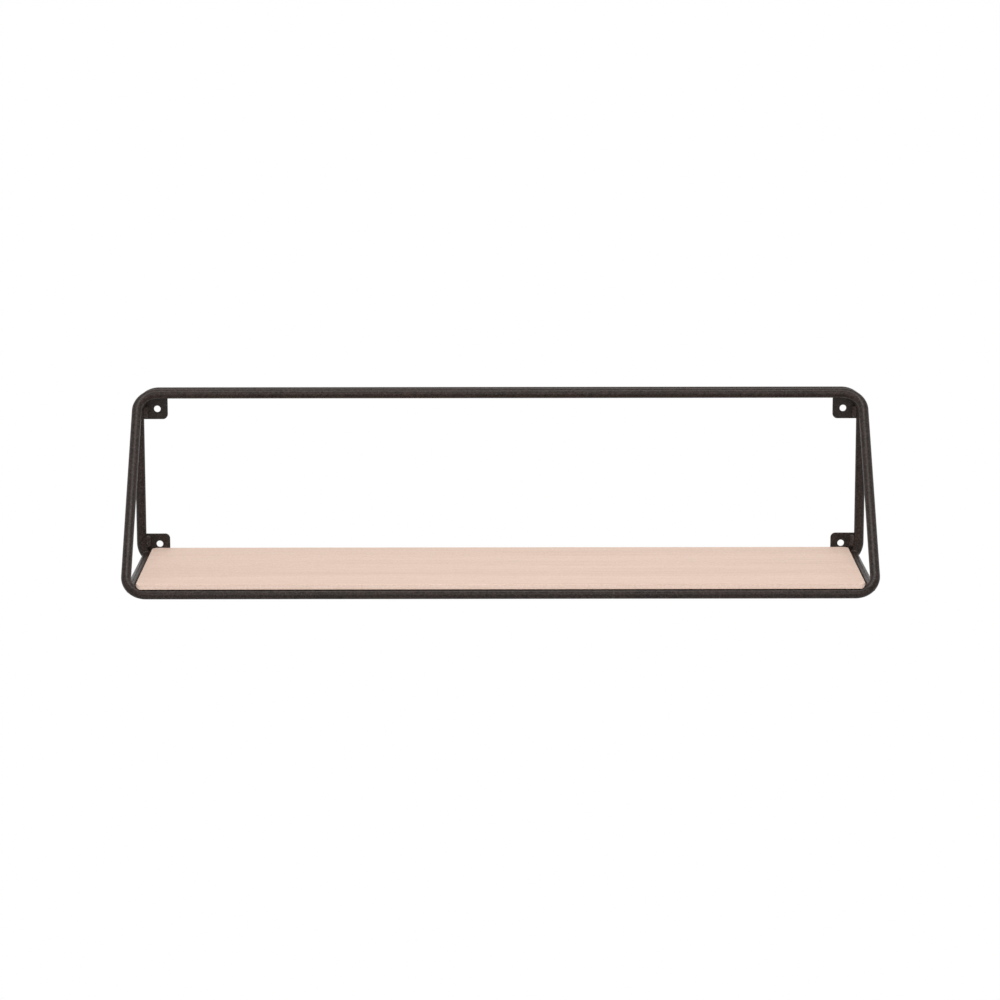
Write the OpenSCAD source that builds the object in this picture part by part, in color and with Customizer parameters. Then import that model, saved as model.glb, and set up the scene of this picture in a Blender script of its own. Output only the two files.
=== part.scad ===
// Wall shelf: a frame of round bar carrying a thin veneered board
// Millimetres, +Z up, the wall is the plane Y = 0, the shelf stands out towards -Y
// The origin is the middle of the four wall holes on the wall plane

/* [Overall size] */

// Width over the outside of the frame
shelf_w = 600; // [400:10:900]

// Height over the outside of the frame
shelf_h = 150; // [120:1:220]

// Distance from the wall to the front of the frame
shelf_d = 150; // [120:5:200]

/* [Round bars] */

// Diameter of the bar that both loops are bent from
bar_d = 8; // [7:0.5:9]

// Bend radius of the loop corners, at the middle of the bar
bend_r = 16.5; // [14:0.5:20]

// Diameter of the two side rods under the board's ends
side_rod_d = 7; // [5:0.5:7.5]

// Where the side rods meet the bottom bends, in degrees up from level with the bend's middle
side_rod_turn = 41; // [38:1:48]

// How far the rear loop's bar is bedded into the wall tabs
seat = 0.3; // [0.1:0.1:0.5]

// Clearance between the two top bars, which lie side by side
bar_fit = 0.05; // [0.02:0.01:0.2]

/* [Board] */

// Thickness of the whole board
board_t = 4; // [3:0.5:6]

// Share of the board's thickness that each outer veneer takes
veneer_share = 0.3; // [0.15:0.05:0.35]

// Side play between each end of the board and the side rod beside it
board_play = 1; // [1:0.5:3]

// Distance that the board's front edge reaches past the middle of the front bar
board_front_over = 2.5; // [0:0.5:3.5]

// Clearance between the board's back edge and the wall tabs
board_back_gap = 0.5; // [0.2:0.1:1.5]

// Radius of the board's four corners, seen from above
board_corner_r = 5; // [2:0.5:6]

// Clearance of the board's back corners over the rear bends
board_lift = 0.5; // [0.2:0.1:0.8]

// Clearance of the board's underside over the front bar
board_rest_gap = 0.3; // [0.1:0.1:0.4]

// Clearance of the scooped underside over the front bends
board_relief = 0.5; // [0.5:0.1:0.8]

/* [Wall tabs] */

// Thickness of the four wall tabs
tab_t = 2; // [1.5:0.5:3]

// Distance of a wall hole from the middle of the two bars beside it
hole_inset = 14.5; // [14:0.5:18]

// Diameter of the wall holes
hole_d = 5.5; // [4:0.5:7]

// Material between the middle of a hole and the tab's free edges
tab_land = 8.5; // [7:0.5:10]

// Radius of the tab's free corner
tab_corner_r = 4; // [2:0.5:5]

// Overlap of the tab behind the bar, past the bar's middle
tab_lap = 1.5; // [1:0.5:2]

/* [Welds] */

// Width of the dressed butt weld that closes each loop
butt_gap = 2; // [1:0.5:3]

// Place of the butt welds, as a share of half the shelf's width from its middle
butt_place_share = 0.3; // [0:0.05:0.6]

// Bead radius of the stitches between the two top bars
stitch_r = 1.4; // [1:0.1:1.8]

// Length of each stitch between the two top bars
stitch_l = 22; // [10:1:40]

// Place of the outer stitches, as a share of half the shelf's width from its middle
stitch_place_share = 0.62; // [0.4:0.05:0.75]

// Width of the fillet around each end of a side rod
fillet_leg = 0.7; // [0.4:0.1:0.9]

// Bead radius of the welds that lie between the bars and the tabs' front faces
tab_bead_r = 2.2; // [1.6:0.1:2.4]

// Share of the bead's radius that is sunk into the bar and the tab
tab_bead_sink_share = 0.25; // [0.1:0.05:0.35]

// How far each tab weld follows the bend, in degrees
tab_bead_turn = 25; // [10:5:25]

// Distance that a tab weld stops short of the tab's free edge
tab_bead_stop = 1; // [0.5:0.5:2]

/* [Hidden] */

$fn = 64;

// Bars: half sizes and places of the bar middles
bar_r = bar_d / 2;
rod_r = side_rod_d / 2;
half_w = shelf_w / 2 - bar_r;
bend_x = half_w - bend_r;
rod_x = bend_x + bend_r * cos(side_rod_turn);
top_z = shelf_h / 2 - bar_r;
rear_z = -top_z;
rear_l = top_z - rear_z;
rear_y = -(tab_t - seat + bar_r);
front_y = -(shelf_d - bar_r);
top_front_y = rear_y - (bar_d + bar_fit);

// Lap of a straight length over its bend, too small to measure, so that the two run into one
joint_lap = 0.000001;

// Board: three layers between the side rods, carried just over the bends
board_half_w = rod_x - rod_r - board_play;
board_back_y = -(tab_t + board_back_gap);
board_front_y = front_y - board_front_over;
board_dep = board_back_y - board_front_y;
ride_up = bend_r - sqrt(pow(bend_r - bar_r, 2) - pow(board_half_w - bend_x, 2));
board_z = rear_z + ride_up + board_lift;
veneer_t = board_t * veneer_share;
core_t = board_t - 2 * veneer_t;

// Front loop: its bottom bar carries the level board, its top bar meets the rear loop's
front_z = board_z - bar_r - board_rest_gap;
front_h = top_z - front_z;
lean_run = top_front_y - front_y;
front_l = sqrt(pow(lean_run, 2) + pow(front_h, 2));
lean = atan2(lean_run, front_h);

// Side rods: both ends sit on the middle of a bottom bend
rod_up = bend_r - bend_r * sin(side_rod_turn);
rod_rear_z = rear_z + rod_up;
rod_front_y = front_y + rod_up * sin(lean);
rod_front_z = front_z + rod_up * cos(lean);
rod_run = rear_y - rod_front_y;
rod_rise = rod_rear_z - rod_front_z;
rod_l = sqrt(pow(rod_run, 2) + pow(rod_rise, 2));
rod_tilt = atan2(rod_rise, rod_run);

// Wall tabs: measured from their outer corner
tab_side = tab_lap + hole_inset + tab_land;
tab_outer_r = bend_r + tab_lap;
tab_x = half_w + tab_lap;
tab_z = top_z + tab_lap;
tab_hole = tab_lap + hole_inset;

// Welds
butt_x = half_w * butt_place_share;
stitch_x = half_w * stitch_place_share;
stitch_pitch = bar_d + bar_fit;
stitch_drop = sqrt(pow(bar_r + stitch_r / 2, 2) - pow(stitch_pitch / 2, 2));
fillet_root = bar_r / 4;
fillet_h = bar_r + side_rod_d / 8 - fillet_root;
fillet_toe = fillet_leg / 4;
bead_stand = tab_bead_r * (1 - tab_bead_sink_share);
bead_y = -(tab_t + bead_stand);
bead_out = sqrt(pow(bar_r + bead_stand, 2) - pow(bead_y - rear_y, 2));
bead_l = tab_side - tab_outer_r - tab_bead_stop;

// Colours
metal = [0.17, 0.15, 0.14];
weld_metal = [0.21, 0.19, 0.18];
face_wood = [0.90, 0.80, 0.73];
core_wood = [0.84, 0.72, 0.62];

// One straight length of round bar along X, centred
module bar_x(len, r) {
    rotate([0, 90, 0]) cylinder(h = len, r = r, center = true);
}

// One quarter bend in the XZ plane, its middle at the origin, from +X round to -Z
module bend(r) {
    rotate([90, 0, 0]) rotate([0, 0, -90])
        rotate_extrude(angle = 90) translate([bend_r, 0]) circle(r = r);
}

// The two bottom bends of a loop, the loop's bottom bar middle at the origin
module bottom_bends(r) {
    for (s = [0, 1]) mirror([s, 0, 0])
        translate([bend_x, 0, bend_r]) bend(r);
}

// A closed loop of bar, standing in the XZ plane on its bottom bar's middle
module loop(len) {
    for (z = [0, len]) translate([0, 0, z]) bar_x(2 * (bend_x + joint_lap), bar_r);
    for (s = [-1, 1]) translate([s * half_w, 0, bend_r - joint_lap])
        cylinder(h = len - 2 * (bend_r - joint_lap), r = bar_r);
    bottom_bends(bar_r);
    translate([0, 0, len]) mirror([0, 0, 1]) bottom_bends(bar_r);
}

// Places the rear loop's own upright frame
module at_rear() {
    translate([0, rear_y, rear_z]) children();
}

// Places the front loop's own leaning frame
module at_front() {
    translate([0, front_y, front_z]) rotate([-lean, 0, 0]) children();
}

// The short length of a loop that its butt weld fills
module butt_slot() {
    translate([butt_x, 0, 0]) cube([butt_gap, 2 * bar_d, 2 * bar_d], center = true);
}

module butt_plug() {
    translate([butt_x, 0, 0]) bar_x(butt_gap, bar_r);
}

module rear_solid() {
    at_rear() loop(rear_l);
}

module front_solid() {
    at_front() loop(front_l);
}

// Both loops at their bottom bends only
module bend_solids(rear_bar_r, front_bar_r) {
    at_rear() bottom_bends(rear_bar_r);
    at_front() bottom_bends(front_bar_r);
}

// A side's frame with +Z along its side rod, starting at the front end
module at_rod(side) {
    translate([side * rod_x, rod_front_y, rod_front_z])
        rotate([rod_tilt - 90, 0, 0]) children();
}

module rod_bar(side) {
    at_rod(side) cylinder(h = rod_l, r = rod_r);
}

module side_rod(side) {
    color(metal) difference() {
        rod_bar(side);
        bend_solids(bar_r, bar_r);
    }
}

// Fillet that runs round one end of a side rod, lying on the bend's surface
module rod_weld(side, rear) {
    color(weld_metal) difference() {
        at_rod(side) translate([0, 0, rear ? rod_l : 0]) mirror([0, 0, rear ? 1 : 0])
            translate([0, 0, fillet_root])
                cylinder(h = fillet_h, r1 = rod_r + fillet_leg, r2 = rod_r + fillet_toe);
        rod_bar(side);
        bend_solids(bar_r, bar_r);
    }
}

// Rounds the corner of a square sheet at the origin
module corner_waste(r) {
    difference() {
        translate([-r, -r]) square(2 * r);
        translate([r, r]) circle(r = r);
    }
}

// A wall tab seen from the front, its outer corner at the origin
module tab_outline() {
    difference() {
        square(tab_side);
        corner_waste(tab_outer_r);
        translate([tab_side, tab_side]) rotate(180) corner_waste(tab_corner_r);
        translate([tab_hole, tab_hole]) circle(d = hole_d);
    }
}

// Places a tab's frame at a corner: side -1 left, 1 right, level -1 bottom, 1 top
module at_tab(side, level) {
    mirror([side > 0 ? 1 : 0, 0, 0]) mirror([0, 0, level > 0 ? 1 : 0])
        translate([-tab_x, 0, -tab_z]) children();
}

module tab(side, level) {
    color(metal) difference() {
        at_tab(side, level) rotate([90, 0, 0]) linear_extrude(tab_t) tab_outline();
        rear_solid();
    }
}

// Bead between the bar and the tab, along the upright and a little way round the bend
module tab_weld(side, level) {
    color(weld_metal) difference() {
        at_tab(side, level) {
            translate([tab_lap + bead_out, bead_y, tab_outer_r]) cylinder(h = bead_l, r = tab_bead_r);
            translate([tab_outer_r, bead_y, tab_outer_r]) rotate([90, 0, 0]) rotate([0, 0, 180])
                rotate_extrude(angle = tab_bead_turn) translate([bend_r - bead_out, 0]) circle(r = tab_bead_r);
        }
        at_tab(side, level) rotate([90, 0, 0]) linear_extrude(tab_t) tab_outline();
        rear_solid();
    }
}

// Stitch in the groove under the two top bars
module top_weld(x) {
    color(weld_metal) difference() {
        translate([x, (rear_y + top_front_y) / 2, top_z - stitch_drop]) bar_x(stitch_l, stitch_r);
        rear_solid();
        front_solid();
    }
}

module board_outline() {
    difference() {
        translate([-board_half_w, board_front_y]) square([2 * board_half_w, board_dep]);
        for (x = [0, 1], y = [0, 1])
            translate([x == 0 ? -board_half_w : board_half_w, y == 0 ? board_front_y : board_back_y])
                mirror([x, 0]) mirror([0, y]) corner_waste(board_corner_r);
    }
}

// One layer of the board, scooped clear of the front bends
module board_layer(z, t) {
    difference() {
        translate([0, 0, z]) linear_extrude(t) board_outline();
        bend_solids(bar_r, bar_r + board_relief);
    }
}

// Bent from one bar, closed by a butt weld hidden under the board
module rear_loop() {
    color(metal) difference() {
        rear_solid();
        at_rear() butt_slot();
    }
}

module rear_loop_weld() {
    color(weld_metal) at_rear() butt_plug();
}

// Same bar, leaning; its top bar lies against the rear loop's top bar
module front_loop() {
    color(metal) difference() {
        front_solid();
        at_front() butt_slot();
    }
}

module front_loop_weld() {
    color(weld_metal) at_front() butt_plug();
}

module side_rod_left() { side_rod(-1); }
module side_rod_right() { side_rod(1); }

module tab_top_left() { tab(-1, 1); }
module tab_top_right() { tab(1, 1); }
module tab_bottom_left() { tab(-1, -1); }
module tab_bottom_right() { tab(1, -1); }

module top_weld_left() { top_weld(-stitch_x); }
module top_weld_middle() { top_weld(0); }
module top_weld_right() { top_weld(stitch_x); }

module rod_weld_rear_left() { rod_weld(-1, true); }
module rod_weld_rear_right() { rod_weld(1, true); }
module rod_weld_front_left() { rod_weld(-1, false); }
module rod_weld_front_right() { rod_weld(1, false); }

module tab_weld_top_left() { tab_weld(-1, 1); }
module tab_weld_top_right() { tab_weld(1, 1); }
module tab_weld_bottom_left() { tab_weld(-1, -1); }
module tab_weld_bottom_right() { tab_weld(1, -1); }

module board_back_veneer() { color(face_wood) board_layer(board_z, veneer_t); }
module board_core() { color(core_wood) board_layer(board_z + veneer_t, core_t); }
module board_face_veneer() { color(face_wood) board_layer(board_z + veneer_t + core_t, veneer_t); }

rear_loop();
rear_loop_weld();
front_loop();
front_loop_weld();
side_rod_left();
side_rod_right();
tab_top_left();
tab_top_right();
tab_bottom_left();
tab_bottom_right();
top_weld_left();
top_weld_middle();
top_weld_right();
rod_weld_rear_left();
rod_weld_rear_right();
rod_weld_front_left();
rod_weld_front_right();
tab_weld_top_left();
tab_weld_top_right();
tab_weld_bottom_left();
tab_weld_bottom_right();
board_core();
board_face_veneer();
board_back_veneer();
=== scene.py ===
# A wall shelf: a frame of coated round bar that carries a thin plywood board.
# The imported model is the frame of reference, in metres, with the wall at y = 0,
# z up and the shelf towards -y.
import math
import bpy
import numpy as np
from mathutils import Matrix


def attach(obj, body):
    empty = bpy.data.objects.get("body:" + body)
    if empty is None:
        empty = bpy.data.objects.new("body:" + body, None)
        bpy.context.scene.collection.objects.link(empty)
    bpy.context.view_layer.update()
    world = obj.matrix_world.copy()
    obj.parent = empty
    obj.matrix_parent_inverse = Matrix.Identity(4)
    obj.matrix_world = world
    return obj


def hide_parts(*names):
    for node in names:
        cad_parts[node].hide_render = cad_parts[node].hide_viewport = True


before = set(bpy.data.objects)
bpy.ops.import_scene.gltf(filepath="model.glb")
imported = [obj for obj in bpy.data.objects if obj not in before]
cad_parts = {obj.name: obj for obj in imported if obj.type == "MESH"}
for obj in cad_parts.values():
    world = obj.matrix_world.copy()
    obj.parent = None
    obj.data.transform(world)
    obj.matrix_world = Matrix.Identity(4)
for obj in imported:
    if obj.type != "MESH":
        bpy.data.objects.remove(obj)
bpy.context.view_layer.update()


# The viewpoint of the photograph.
# A long lens, 2.9 m in front of the wall and half a metre above the shelf's middle, looks
# down on the board at a shallow angle, with the slightest roll and turn.
look_down = 0.18754
roll = 0.00109
turn_right = 0.00161
camera_data = bpy.data.cameras.new("viewpoint")
camera_data.sensor_width = 36.0
camera_data.lens = 129.04
camera_data.clip_end = 200.0
camera = bpy.data.objects.new("viewpoint", camera_data)
camera.location = (-0.0043, -2.9074, 0.5314)
camera.rotation_euler = (math.pi / 2 - look_down, roll, -turn_right)
bpy.context.scene.collection.objects.link(camera)
bpy.context.scene.camera = camera
bpy.context.scene.view_settings.view_transform = "Standard"


# The studio floor, a pale sheet far below the hanging shelf.
# It shows white to the camera and in reflections further out, and keeps the
# shelf's own soft shadow straight underneath.
class Wire:
    """A socket of a node tree. Sums written on it add Math nodes to that tree."""

    def __init__(self, tree, socket=None):
        self.tree = tree
        self.socket = socket

    def node(self, kind, settings, inputs, output=0):
        """Adds a node of any kind: its settings first, then a value or a wire for each input."""
        made = self.tree.nodes.new("ShaderNode" + kind)
        for name, setting in settings.items():
            setattr(made, name, setting)
        for name, value in inputs.items():
            if isinstance(value, Wire):
                self.tree.links.new(value.socket, made.inputs[name])
            else:
                made.inputs[name].default_value = value
        return Wire(self.tree, made.outputs[output] if len(made.outputs) else None)

    def sum_of(self, operation, first, second):
        """One Math node on two numbers or wires."""
        return self.node("Math", {"operation": operation}, {0: first, 1: second})

    def __add__(self, other):
        return self.sum_of("ADD", self, other)

    def __radd__(self, other):
        return self.sum_of("ADD", other, self)

    def __sub__(self, other):
        return self.sum_of("SUBTRACT", self, other)

    def __rsub__(self, other):
        return self.sum_of("SUBTRACT", other, self)

    def __mul__(self, other):
        return self.sum_of("MULTIPLY", self, other)

    def __rmul__(self, other):
        return self.sum_of("MULTIPLY", other, self)

    def between(self, low, high):
        """0 up to low, 1 from high on, and a soft step from one to the other."""
        ends = {"Value": self, "From Min": low, "From Max": high}
        return self.node("MapRange", {"interpolation_type": "SMOOTHSTEP"}, ends)

    def blend(self, first, second):
        """Mixes two colours, the first where this wire is 0 and the second where it is 1."""
        return self.node("Mix", {"data_type": "RGBA"}, {0: self, 6: first, 7: second}, 2)

    def noise(self, place, scale, detail=2.0, roughness=0.5):
        """Soft noise over a place, with its swing widened so that it fills 0 to 1."""
        inputs = {"Vector": place, "Scale": scale, "Detail": detail, "Roughness": roughness}
        swing = 2.2
        return (self.node("TexNoise", {}, inputs) - 0.5) * swing + 0.5


def new_finish(name):
    """An empty material, and the wire that its nodes are added from."""
    material = bpy.data.materials.new(name)
    material.use_nodes = True
    material.node_tree.nodes.clear()
    return material, Wire(material.node_tree)


def seen(start):
    """1 for what the camera sees, straight or in a reflection or through glass, and 0 for light."""
    camera_ray = start.node("LightPath", {}, {}, "Is Camera Ray")
    glossy_ray = start.node("LightPath", {}, {}, "Is Glossy Ray")
    clear_ray = start.node("LightPath", {}, {}, "Is Transmission Ray")
    straight_or_glossy = start.sum_of("MAXIMUM", camera_ray, glossy_ray)
    return start.sum_of("MAXIMUM", straight_or_glossy, clear_ray)


floor_z = -0.75
floor_reach = 60.0
shadow_reach = 0.35
white_reach = 0.85
near_white = 0.55
floor_mesh = bpy.data.meshes.new("studio_floor")
floor_corners = np.array([[-1, -1], [1, -1], [1, 1], [-1, 1]]) * floor_reach
floor_points = np.column_stack([floor_corners, np.full(4, floor_z)])
floor_mesh.from_pydata(floor_points, [], [[0, 1, 2, 3]])
floor = bpy.data.objects.new("studio_floor", floor_mesh)
bpy.context.scene.collection.objects.link(floor)

floor_finish, start = new_finish("floor_paper")
floor_place = start.node("TexCoord", {}, {}, "Object")
level_place = start.node("VectorMath", {"operation": "MULTIPLY"}, {0: floor_place, 1: (1, 1, 0)})
way_out = start.node("VectorMath", {"operation": "LENGTH"}, {0: level_place}, "Value")
paper_grain = start.noise(floor_place, 90.0, 4.0)
paper_colour = paper_grain.blend((0.84, 0.84, 0.84, 1), (0.88, 0.88, 0.88, 1))
paper = start.node("BsdfDiffuse", {}, {"Color": paper_colour})
white = start.node("Emission", {}, {"Color": (1, 1, 1, 1), "Strength": 1.0})
further_out = way_out.between(shadow_reach, white_reach)
whiteness = seen(start) * (near_white + (1 - near_white) * further_out)
floor_surface = start.node("MixShader", {}, {0: whiteness, 1: paper, 2: white})
start.node("OutputMaterial", {}, {"Surface": floor_surface})
floor_mesh.materials.append(floor_finish)


# The studio light: an even surround, a softbox above the shelf and a broad soft one in front.
# The surround shows white to the camera, and gives no more than its own dim light.
surround_light = 0.40
shelf_middle = (0.0, -0.07, 0.0)
world = bpy.data.worlds.new("surround")
bpy.context.scene.world = world
world.use_nodes = True
world.node_tree.nodes.clear()
start = Wire(world.node_tree)
dim = start.node("Background", {}, {"Color": (1, 1, 1, 1), "Strength": surround_light})
bright = start.node("Background", {}, {"Color": (1, 1, 1, 1), "Strength": 1.0})
surround = start.node("MixShader", {}, {0: seen(start), 1: dim, 2: bright})
start.node("OutputWorld", {}, {"Surface": surround})


def softbox(name, place, aim, width, height, watts):
    """A rectangular lamp at a place, turned so that it shines at aim."""
    lamp_data = bpy.data.lights.new(name, "AREA")
    lamp_data.shape = "RECTANGLE"
    lamp_data.size = width
    lamp_data.size_y = height
    lamp_data.energy = watts
    lamp = bpy.data.objects.new(name, lamp_data)
    lamp.location = place
    away = np.array(place, float) - np.array(aim, float)
    tilt = math.acos(away[2] / np.linalg.norm(away))
    lamp.rotation_euler = (tilt, 0.0, math.atan2(away[0], -away[1]))
    lamp.visible_camera = False
    bpy.context.scene.collection.objects.link(lamp)


softbox("key", (0.0, -0.62, 1.6), shelf_middle, 1.2, 0.4, 15.5)
softbox("front_fill", (0.0, -2.3, 0.55), shelf_middle, 2.0, 1.2, 17.0)


# The two loops, each bent cold from one length of 8 mm round steel bar and closed by
# a butt weld in its bottom bar. The rear one stands upright on the wall tabs, and the
# front one leans back until its top bar lies beside the rear top bar. Both are powder coated.
bar_radius = 0.004
half_width = 0.296
bend_radius = 0.0165
bend_x = half_width - bend_radius
top_z = 0.071
rear_y = -0.0057
rear_z = -0.071
front_y = -0.146
front_z = -0.067944
top_bar_pitch = 0.00805
lean_run = rear_y - top_bar_pitch - front_y
rear_length = top_z - rear_z
front_length = math.hypot(lean_run, top_z - front_z)
lean = math.atan2(lean_run, top_z - front_z)
butt_x = 0.0888
butt_width = 0.002
bar_around = 48
bend_steps = 25
side_steps = 22
short_steps = 8
long_steps = 16
coat_dark = (0.0020, 0.0008, 0.0004, 1)
coat_light = (0.0500, 0.0340, 0.0280, 1)
coat_sand = 0.00004


def rounded_path(centres, radii, arc_steps, line_steps):
    """Goes once round a figure with four rounded corners, anticlockwise from its lower right.

    At each corner the point is the centre plus the radius times (cos, sin) of an angle that
    grows by a quarter turn, and between corners it moves in a straight line at an even pace.
    Gives the points and the outward normals, one row for each corner and the side after it.
    """
    centres = np.array(centres, float)[:, None, :]
    radii = np.array(radii, float)[:, None, None]
    angle = np.radians(-90 + 90 * np.arange(4))[:, None] + np.linspace(0, math.pi / 2, arc_steps)
    normal = np.stack([np.cos(angle), np.sin(angle)], axis=2)
    corner = centres + radii * normal
    share = np.linspace(0, 1, line_steps + 2)[None, 1:-1, None]
    following = np.roll(corner[:, :1], -1, axis=0)
    side = corner[:, -1:] * (1 - share) + following * share
    side_normal = np.repeat(normal[:, -1:], line_steps, axis=1)
    return np.concatenate([corner, side], axis=1), np.concatenate([normal, side_normal], axis=1)


def bar_path(length):
    """The middle line of a loop in its own plane, from one side of the butt weld round to the other.

    Gives the points and outward normals in (x, height up the loop), with the bottom bar's middle
    at height 0.
    """
    high = length - bend_radius
    centres = [(bend_x, bend_radius), (bend_x, high), (-bend_x, high), (-bend_x, bend_radius)]
    points, normals = rounded_path(centres, [bend_radius] * 4, bend_steps, side_steps)
    points = points.reshape(-1, 2)[:-side_steps]
    normals = normals.reshape(-1, 2)[:-side_steps]
    first_x = np.linspace(butt_x + butt_width / 2, bend_x, short_steps + 1)[:-1]
    last_x = np.linspace(-bend_x, butt_x - butt_width / 2, long_steps + 1)[1:]
    first = np.column_stack([first_x, np.zeros(short_steps)])
    last = np.column_stack([last_x, np.zeros(long_steps)])
    below = np.array([[0.0, -1.0]])
    normals = np.concatenate([below.repeat(short_steps, 0), normals, below.repeat(long_steps, 0)])
    return np.concatenate([first, points, last]), normals


def loop_axes(leaning):
    """The way up a loop, (0, sin, cos) of its lean, and the way through its plane, (0, cos, -sin)."""
    upward = np.array([0.0, math.sin(leaning), math.cos(leaning)])
    through = np.array([0.0, math.cos(leaning), -math.sin(leaning)])
    return upward, through


def round_bar(path, across, beside, radius, around=bar_around):
    """A round section carried along a path.

    Each point is the path's point plus the radius times (cos turn * across + sin turn * beside).
    The radius is one number, or an array with a row for each path point and a column for each turn.
    """
    turn = np.linspace(0, 2 * math.pi, around, endpoint=False)[None, :, None]
    out = np.cos(turn) * across[:, None, :] + np.sin(turn) * beside[:, None, :]
    return path[:, None, :] + np.atleast_3d(radius) * out


def surface_piece(name, rings, finish, ring_to_ring=False, sharp=40.0):
    """Makes a closed piece from a grid of points, one row for each ring.

    Every point is joined to the next in its ring and in the ring after it. The last ring is joined
    to the first, or else each end ring is closed with one flat face. The faces are turned round
    where the enclosed volume comes out negative, so they always point outwards.
    """
    count, around = rings.shape[:2]
    points = rings.reshape(-1, 3)
    row = np.arange(count if ring_to_ring else count - 1)[:, None]
    column = np.arange(around)[None, :]
    here = row * around + column
    beside = row * around + (column + 1) % around
    above = (row + 1) % count * around + column
    across = (row + 1) % count * around + (column + 1) % around
    quads = np.stack([here, beside, across, above], axis=2).reshape(-1, 4)
    corner = points[quads] - points.mean(0)
    volume = np.einsum("ij,ij->i", corner[:, 0], np.cross(corner[:, 1], corner[:, 2])).sum()
    volume += np.einsum("ij,ij->i", corner[:, 0], np.cross(corner[:, 2], corner[:, 3])).sum()
    faces = quads.tolist()
    if not ring_to_ring:
        faces += [list(range(around))[::-1], list(range((count - 1) * around, count * around))]
    if volume < 0:
        faces = [face[::-1] for face in faces]
    mesh = bpy.data.meshes.new(name)
    mesh.from_pydata(points, [], faces)
    mesh.polygons.foreach_set("use_smooth", np.ones(len(faces), bool))
    mesh.set_sharp_from_angle(angle=math.radians(sharp))
    mesh.materials.append(finish)
    mesh.validate()
    piece = bpy.data.objects.new(name, mesh)
    bpy.context.scene.collection.objects.link(piece)
    return piece


def powder_coat(name, dark, light, sand_height):
    """A matt, finely sanded powder coat.

    Its tone sums noise of four sizes: sand of 1 mm, flecks of 2 mm, changes over 50 mm, and the
    highest peaks of a noise of 1.3 mm as painted glints, pale specks of painted highlight. The sand and
    flecks also raise its surface.
    """
    material, start = new_finish(name)
    place = start.node("TexCoord", {}, {}, "Object")
    sand = start.noise(place, 1000.0, 2.0, 0.55)
    fleck = start.noise(place, 420.0, 2.0, 0.6)
    slow = start.noise(place, 22.0, 2.0)
    # Painted highlight: the highest peaks of this noise lighten the colour as pale glints.
    painted_glint = start.noise(place, 760.0, 1.0).between(0.66, 0.92)
    tone = sand * 0.55 + fleck * 0.6 + slow * 0.2 - 0.22 + painted_glint * 0.9
    colour = tone.blend(dark, light)
    roughness = 0.38 + (sand - 0.5) * 0.16 + (slow - 0.5) * 0.08
    height = sand * 0.6 + fleck * 0.4
    bump = start.node("Bump", {}, {"Strength": 0.9, "Distance": sand_height, "Height": height})
    looks = {"Base Color": colour, "Roughness": roughness, "Specular IOR Level": 0.17, "Normal": bump}
    shader = start.node("BsdfPrincipled", {}, looks)
    start.node("OutputMaterial", {}, {"Surface": shader})
    return material


bar_coat = powder_coat("bar_coat", coat_dark, coat_light, coat_sand)
sideways = np.array([1.0, 0.0, 0.0])
loops = {
    "rear_loop": (np.array([0.0, rear_y, rear_z]), rear_length, 0.0),
    "front_loop": (np.array([0.0, front_y, front_z]), front_length, lean),
}
for node, (foot, length, leaning) in loops.items():
    upward, through = loop_axes(leaning)
    points, normals = bar_path(length)
    middle = foot + points[:, :1] * sideways + points[:, 1:] * upward
    outward = normals[:, :1] * sideways + normals[:, 1:] * upward
    rings = round_bar(middle, outward, np.tile(through, (len(middle), 1)), bar_radius)
    piece = surface_piece(node + "_bar", rings, bar_coat)
    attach(piece, "root")
    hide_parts(node)


# The butt welds that close the two loops, between the two ends of the bar.
# Weld metal, ground back almost level with the bar and coated with it, so each is a faint band
# in the bottom bar; the weld coat's colours are lighter than the bar's, a painted highlight.
butt_rings = 13
butt_hollow = 0.00005
# Painted highlight: both ends of the weld coat's colours are lighter than the bar coat's, so the welds
# show paler than the bars.
weld_dark_painted_highlight = (0.0080, 0.0045, 0.0032, 1)
weld_light_painted_highlight = (0.0800, 0.0600, 0.0520, 1)
weld_sand = 0.00006
weld_coat_painted_highlight = powder_coat("weld_coat_painted_highlight", weld_dark_painted_highlight, weld_light_painted_highlight, weld_sand)
for node, (foot, length, leaning) in loops.items():
    # Its radius is the bar's less three shallow hollows round it, which wind a little along the
    # weld and fade out towards both of its ends.
    along = np.linspace(-1, 1, butt_rings)[:, None]
    turn = np.linspace(0, 2 * math.pi, bar_around, endpoint=False)[None, :]
    hollow = butt_hollow * (1 + np.cos(3 * turn + 2 * along)) * (1 - along ** 4)
    middle = foot + (butt_x + along * butt_width / 2) * sideways
    upward, through = (np.tile(axis, (butt_rings, 1)) for axis in loop_axes(leaning))
    rings = round_bar(middle, upward, through, bar_radius - hollow)
    piece = surface_piece(node + "_butt_weld", rings, weld_coat_painted_highlight)
    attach(piece, "root")
    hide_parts(node + "_weld")


# The two side rods, 7 mm round steel, one beside each end of the board.
# Each is cut to length with its ends coped to fit against the bottom bends of both loops.
rod_radius = 0.0035
rod_turn = math.radians(41)
rod_x = bend_x + bend_radius * math.cos(rod_turn)
rod_up = bend_radius * (1 - math.sin(rod_turn))
rod_front = np.array([0.0, front_y + rod_up * math.sin(lean), front_z + rod_up * math.cos(lean)])
rod_rear = np.array([0.0, rear_y, rear_z + rod_up])
rod_length = np.linalg.norm(rod_rear - rod_front)
rod_way = (rod_rear - rod_front) / rod_length
rod_above = np.array([0.0, -rod_way[2], rod_way[1]])
rod_around = 40
rod_rings = 24
cap_shares = np.array([0.02, 0.4, 0.75, 0.96, 1.0])[:, None]
cope_search = 0.012
cope_halvings = 30


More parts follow.
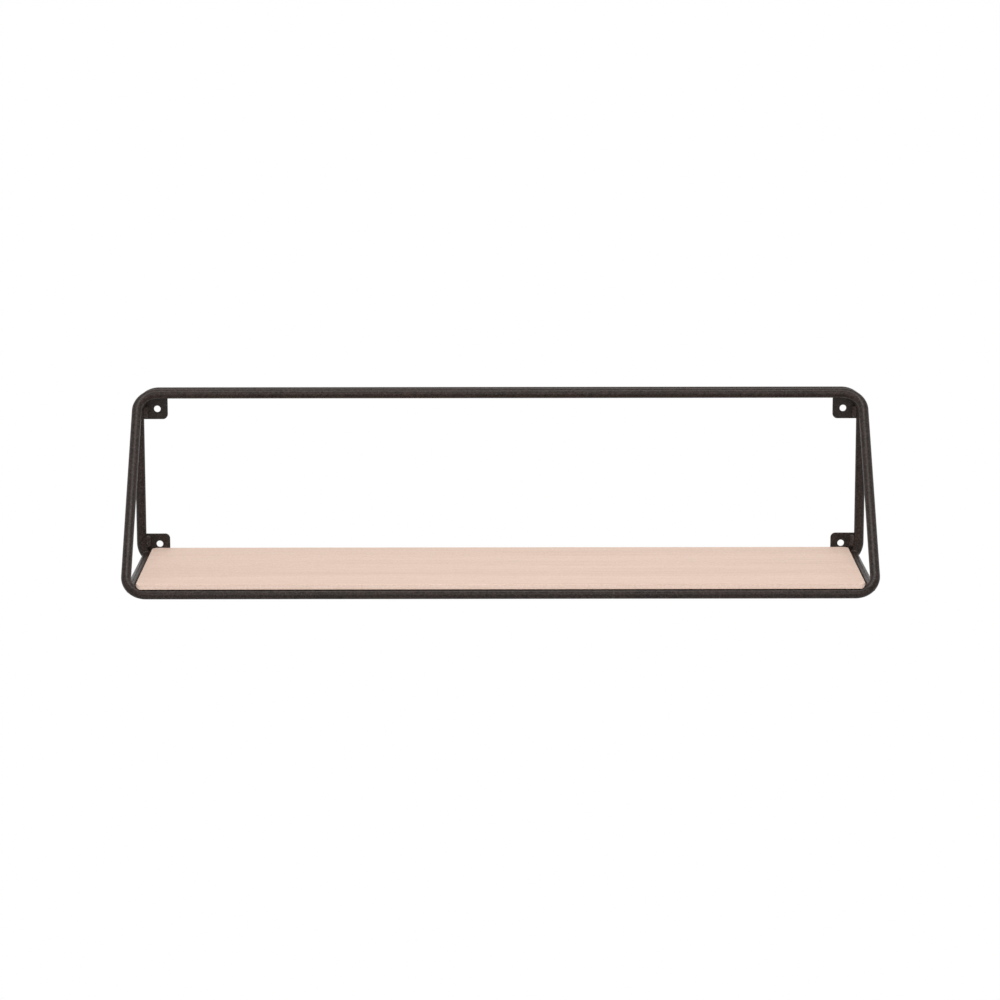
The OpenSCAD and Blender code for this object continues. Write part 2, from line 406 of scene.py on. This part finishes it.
def bend_distance(points, side, foot, leaning):
    """How far points are from the middle line of a loop's bottom bend on one side.

    In the bend's own plane the line is a circle, so the distance is the hypotenuse of how far the
    point is off that circle in the plane and how far it is off the plane.
    """
    offset = points - foot - side * bend_x * sideways
    height = offset[..., 1] * math.sin(leaning) + offset[..., 2] * math.cos(leaning) - bend_radius
    off_plane = offset[..., 1] * math.cos(leaning) - offset[..., 2] * math.sin(leaning)
    return np.hypot(np.hypot(offset[..., 0], height) - bend_radius, off_plane)


def rod_point(side, reach, turn, along):
    """A point of a rod: its axis point at a distance along, plus reach times (cos, sin) of the turn."""
    start_point = rod_front + np.array([side * rod_x, 0.0, 0.0])
    out = np.cos(turn)[..., None] * sideways + np.sin(turn)[..., None] * rod_above
    return start_point + reach[..., None] * out + along[..., None] * rod_way


def bend_face(side, reach, turn, at_rear):
    """How far along the rod a line beside its axis comes out of the bend, by halving the interval."""
    foot, _, leaning = loops["rear_loop" if at_rear else "front_loop"]
    inner = np.full(np.broadcast(reach, turn).shape, rod_length if at_rear else 0.0)
    outer = inner + (-cope_search if at_rear else cope_search)
    reach, turn = np.broadcast_arrays(reach, turn)
    for _ in range(cope_halvings):
        middle = (inner + outer) / 2
        inside = bend_distance(rod_point(side, reach, turn, middle), side, foot, leaning) < bar_radius
        inner = np.where(inside, middle, inner)
        outer = np.where(inside, outer, middle)
    return outer


rod_ring = np.linspace(0, 2 * math.pi, rod_around, endpoint=False)[None, :]
for side, word in ((-1, "left"), (1, "right")):
    cap_reach = rod_radius * cap_shares
    front_cap = bend_face(side, cap_reach, rod_ring, False)
    rear_cap = bend_face(side, cap_reach, rod_ring, True)
    share = np.linspace(0, 1, rod_rings + 2)[1:-1, None]
    body = front_cap[-1:] * (1 - share) + rear_cap[-1:] * share
    along = np.concatenate([front_cap, body, rear_cap[::-1]])
    body_reach = np.full((len(body), 1), rod_radius)
    reach = np.concatenate([cap_reach, body_reach, cap_reach[::-1]]).repeat(rod_around, 1)
    rings = rod_point(side, reach, rod_ring.repeat(len(along), 0), along)
    piece = surface_piece("side_rod_" + word + "_bar", rings, bar_coat)
    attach(piece, "root")
    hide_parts("side_rod_" + word)


# The four fillet welds that join the ends of the side rods to the bends.
# Each is a small ring of weld metal, laid in short overlapping steps and coated with the frame, in
# colours lightened by a painted highlight.
fillet_leg = 0.00068
fillet_height = fillet_leg * 1.15
fillet_swell = 0.00016
toe_sunk = 0.0001
root_sunk = 0.0004
fillet_around = 96
ring_turn = np.linspace(0, 2 * math.pi, fillet_around, endpoint=False)[None, :]
ripple = 1 + 0.10 * np.cos(11 * ring_turn) + 0.05 * np.cos(4 * ring_turn + 1)
across = np.linspace(0, 1, 9)[:, None]
for side, word in ((-1, "left"), (1, "right")):
    for at_rear, end in ((False, "front"), (True, "rear")):
        back = -1 if at_rear else 1
        # Across the fillet, its face runs straight from the toe on the bend to the top on the rod
        # and swells by half a sine. Two more rings close it inside the steel.
        toe_reach = rod_radius + fillet_leg * ripple
        toe_along = bend_face(side, toe_reach, ring_turn, at_rear) - back * toe_sunk
        root_along = bend_face(side, np.array([[rod_radius]]), ring_turn, at_rear)
        top_along = root_along + back * fillet_height * ripple
        swell = fillet_swell * np.sin(math.pi * across)
        reach = toe_reach * (1 - across) + rod_radius * across + swell
        along = toe_along * (1 - across) + top_along * across + back * swell
        hidden_reach = np.full((1, fillet_around), rod_radius - root_sunk)
        reach = np.concatenate([reach, hidden_reach, hidden_reach])
        along = np.concatenate([along, top_along, toe_along - back * root_sunk])
        rings = rod_point(side, reach, ring_turn.repeat(len(along), 0), along)
        place = end + "_" + word
        piece = surface_piece("rod_fillet_" + place, rings, weld_coat_painted_highlight, ring_to_ring=True, sharp=60.0)
        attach(piece, "root")
        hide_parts("rod_weld_" + place)


# The four wall tabs, cut from 2 mm steel sheet, each with a 5.5 mm screw hole.
# They lie flat on the wall behind the rear loop's corners. Their edges are slightly broken,
# and they are coated with the frame.
tab_thick = 0.002
tab_side = 0.0245
tab_outer_radius = 0.018
tab_corner_radius = 0.004
tab_end_radius = 0.0006
tab_edge = 0.00025
tab_x = 0.2975
tab_z = 0.0725
hole_at = 0.016
hole_radius = 0.00275
quarter = np.radians([0, 22.5, 45, 67.5, 90])
tab_dark = (0.0050, 0.0028, 0.0020, 1)
tab_light = (0.0400, 0.0290, 0.0245, 1)


def tab_rings():
    """The skin of a tab, in (in from its outer corner, depth, up from its outer corner).

    One parameter goes round the outline. The other goes round the section: out over the front face
    from the hole to the rim, over the rounded rim, back over the rear face and through the hole.
    A face point lies a share of the way from the hole to the rim, and each rounding is a quarter
    circle of the edge radius, set in from the hole's or the rim's own line.
    """
    centres = [
        (tab_side - tab_end_radius, tab_end_radius),
        (tab_side - tab_corner_radius, tab_side - tab_corner_radius),
        (tab_end_radius, tab_side - tab_end_radius),
        (tab_outer_radius, tab_outer_radius),
    ]
    radii = [tab_end_radius, tab_corner_radius, tab_end_radius, tab_outer_radius]
    rim, normal = rounded_path(centres, radii, 17, 20)
    rim = rim.reshape(-1, 2)
    normal = normal.reshape(-1, 2)
    hole_middle = np.array([hole_at, hole_at])
    away = (rim - hole_middle) / np.linalg.norm(rim - hole_middle, axis=1, keepdims=True)
    edge_in = tab_edge * (1 - np.sin(quarter))
    edge_dip = tab_edge * (1 - np.cos(quarter))
    face_share = np.array([0.04, 0.5, 0.96])
    face_in = np.full(3, tab_edge)
    front_depth = np.full(3, tab_thick)
    rear_depth = np.zeros(3)
    at_hole = np.zeros(5)
    at_rim = np.ones(10)
    share = np.concatenate([at_hole, face_share, at_rim, face_share[::-1], at_hole])
    inset = np.concatenate([edge_in[::-1], face_in, edge_in, edge_in[::-1], face_in, edge_in])
    front = [tab_thick - edge_dip[::-1], front_depth, tab_thick - edge_dip]
    depth = np.concatenate(front + [edge_dip[::-1], rear_depth, edge_dip])
    share = share[:, None, None]
    inset = inset[:, None, None]
    flat = (hole_middle + (hole_radius + inset) * away) * (1 - share) + (rim - inset * normal) * share
    depth = np.broadcast_to(depth[:, None], flat.shape[:2])
    return flat[..., 0], depth, flat[..., 1]


corners = {
    "top_left": (-1, 1),
    "top_right": (1, 1),
    "bottom_left": (-1, -1),
    "bottom_right": (1, -1),
}
tab_coat = powder_coat("tab_coat", tab_dark, tab_light, coat_sand)
for word, (side, level) in corners.items():
    inward, depth, upward = tab_rings()
    rings = np.stack([side * (tab_x - inward), -depth, level * (tab_z - upward)], axis=2)
    piece = surface_piece("wall_tab_" + word, rings, tab_coat, ring_to_ring=True, sharp=60.0)
    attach(piece, "root")
    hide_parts("tab_" + word)


# The welds that hold the tabs, one fillet in each inner corner between the bar and the tab.
# Each was laid up the bend and the upright in one pass. It slopes from the bar down to the
# tab, shows even ripples and rounded ends, and is coated with the frame, in colours lightened by a
# painted highlight.
bead_radius = 0.0022
bead_stand = bead_radius * 0.75
bead_y = -(tab_thick + bead_stand)
bead_out = math.sqrt((bar_radius + bead_stand) ** 2 - (bead_y - rear_y) ** 2)
bead_turn = math.radians(25)
bead_straight = 0.0055
bead_rings = 90
bead_around = 32
ripple_pitch = 0.0013
ripple_depth = 0.035
bead_slope = math.radians(42)
bead_long = 1.45
bead_short = 0.75


def bead_size(way, length, radius):
    """The radius of a bead: rounded off at both ends, with crescent ripples along it.

    The end rounding is a quarter ellipse one radius long. A ripple is a cosine of the distance
    along the bead, held back at its sides, which bends each ripple into a crescent.
    """
    turn = np.linspace(0, 2 * math.pi, bead_around, endpoint=False)[None, :]
    to_end = np.minimum(way, length - way)[:, None] / radius
    ending = np.sqrt(np.clip(1 - (1 - np.clip(to_end, 0, 1)) ** 2, 0.0004, 1))
    wave = np.cos(2 * math.pi * way[:, None] / ripple_pitch + 1.4 * np.cos(2 * turn))
    return radius * ending * (1 - ripple_depth + ripple_depth * wave)


for word, (side, level) in corners.items():
    # The bead's middle line is an arc about the bend's centre and then a straight line up, and its
    # section is an ellipse with its long way down the slope.
    bend_reach = bend_radius - bead_out
    arc_length = bend_reach * bead_turn
    length = arc_length + bead_straight
    way = np.linspace(0, length, bead_rings)
    angle = math.pi + bead_turn * np.clip(1 - way / arc_length, 0, 1)
    inward = tab_outer_radius + bend_reach * np.cos(angle)
    upward = tab_outer_radius + bend_reach * np.sin(angle) + np.clip(way - arc_length, 0, None)
    middle_y = np.full(bead_rings, bead_y)
    middle = np.stack([side * (tab_x - inward), middle_y, level * (tab_z - upward)], axis=1)
    outward = np.stack([side * -np.cos(angle), np.zeros(bead_rings), level * -np.sin(angle)], axis=1)
    forward = np.tile([0.0, -1.0, 0.0], (bead_rings, 1))
    down_slope = bead_long * (math.cos(bead_slope) * outward + math.sin(bead_slope) * forward)
    off_slope = bead_short * (math.cos(bead_slope) * forward - math.sin(bead_slope) * outward)
    rings = round_bar(middle, down_slope, off_slope, bead_size(way, length, bead_radius), bead_around)
    piece = surface_piece("tab_bead_" + word, rings, weld_coat_painted_highlight)
    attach(piece, "root")
    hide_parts("tab_weld_" + word)


# The three stitch welds that hold the two top bars together.
# They lie in the groove under the bars, so they show only from below.
stitch_radius = 0.0014
stitch_length = 0.022
stitch_rings = 170
stitch_share = 0.62
stitch_y = rear_y - top_bar_pitch / 2
stitch_z = top_z - math.sqrt((bar_radius + stitch_radius / 2) ** 2 - (top_bar_pitch / 2) ** 2)
stitches = {"left": -stitch_share * half_width, "middle": 0.0, "right": stitch_share * half_width}
for word, stitch_x in stitches.items():
    way = np.linspace(0, stitch_length, stitch_rings)
    middle = np.tile([stitch_x - stitch_length / 2, stitch_y, stitch_z], (stitch_rings, 1))
    middle[:, 0] += way
    below = np.tile([0.0, 0.0, -1.0], (stitch_rings, 1))
    beside = np.tile([0.0, 1.0, 0.0], (stitch_rings, 1))
    rings = round_bar(middle, below, beside, bead_size(way, stitch_length, stitch_radius), bead_around)
    piece = surface_piece("top_stitch_" + word, rings, weld_coat_painted_highlight)
    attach(piece, "root")
    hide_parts("top_weld_" + word)


# The board: three plies of pale wood glued crosswise, 4 mm thick in all, held just over the bottom
# bends. The outer plies' grain runs along the board and the core's from front to back, so the core
# shows its end grain in the long edges. The face ply's upper edge is eased with sandpaper.
board_half = 0.28745
board_front = -0.1485
board_back = -0.0025
board_corner = 0.005
ply_top = -0.059644
ply_bottom = -0.060844
arris = 0.0003
flat_in = 0.001
face_pale = (0.915, 0.700, 0.588, 1)
face_deep = (0.745, 0.545, 0.437, 1)
# Partly painted light: the core's colours are paler than the face ply's, partly as its own paler wood
# and partly to lift the board's front edge, which the lamps light less than the top.
core_pale_with_painted_light = (0.920, 0.720, 0.620, 1)
core_deep_with_painted_light = (0.780, 0.590, 0.490, 1)


def ply_finish(name, pale, deep, along_x):
    """Sanded and clear matt wood: long fine grain, short pores, slow bands and a fine speck.

    The first three patterns are noise stretched along the grain, so they run through the ply as
    real grain does and show as dots on an end. The speck is noise that is even in every direction.
    """
    material, start = new_finish(name)
    place = start.node("TexCoord", {}, {}, "Object")
    long_grain = (5.0, 420.0, 420.0) if along_x else (420.0, 5.0, 420.0)
    pore_grain = (70.0, 1900.0, 1900.0) if along_x else (1900.0, 70.0, 1900.0)
    band_grain = (1.6, 34.0, 34.0) if along_x else (34.0, 1.6, 34.0)
    grain_place = start.node("Mapping", {}, {"Vector": place, "Scale": long_grain})
    pore_place = start.node("Mapping", {}, {"Vector": place, "Scale": pore_grain})
    band_place = start.node("Mapping", {}, {"Vector": place, "Scale": band_grain})
    grain = start.noise(grain_place, 1.0, 3.0, 0.6)
    pores = start.noise(pore_place, 1.0, 1.0).between(0.72, 0.95)
    bands = start.noise(band_place, 1.0, 2.0)
    speck = start.noise(place, 600.0, 3.0, 0.7)
    tone = grain * 0.45 + bands * 0.4 + pores * 0.5 + (speck - 0.5) * 0.9
    colour = tone.blend(pale, deep)
    roughness = 0.55 + grain * 0.1
    height = grain * 0.6 - pores
    bump = start.node("Bump", {}, {"Strength": 0.35, "Distance": 0.00003, "Height": height})
    looks = {"Base Color": colour, "Roughness": roughness, "Specular IOR Level": 0.3, "Normal": bump}
    shader = start.node("BsdfPrincipled", {}, looks)
    start.node("OutputMaterial", {}, {"Surface": shader})
    return material


face_finish = ply_finish("face_ply", face_pale, face_deep, True)
core_finish_with_painted_light = ply_finish("core_ply_with_painted_light", core_pale_with_painted_light, core_deep_with_painted_light, False)
for node, finish in (("board_back_veneer", face_finish), ("board_core", core_finish_with_painted_light)):
    for material_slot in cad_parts[node].material_slots:
        material_slot.material = finish

# The face ply's skin is its outline at eight levels: flat on top, a quarter circle over the eased
# edge, down the side and flat underneath.
turn_x = board_half - board_corner
turn_front = board_front + board_corner
turn_back = board_back - board_corner
centres = [(turn_x, turn_front), (turn_x, turn_back), (-turn_x, turn_back), (-turn_x, turn_front)]
rim, normal = rounded_path(centres, [board_corner] * 4, 13, 24)
rim = rim.reshape(1, -1, 2)
normal = normal.reshape(1, -1, 2)
inset = np.concatenate([[flat_in], arris * (1 - np.sin(quarter)), [0.0, flat_in]])[:, None, None]
level = np.concatenate([[ply_top], ply_top - arris * (1 - np.cos(quarter)), [ply_bottom, ply_bottom]])
flat = rim - inset * normal
rings = np.concatenate([flat, np.broadcast_to(level[:, None, None], flat.shape[:2] + (1,))], axis=2)
face_ply = surface_piece("board_face_ply", rings, face_finish, sharp=50.0)
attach(face_ply, "root")
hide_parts("board_face_veneer")
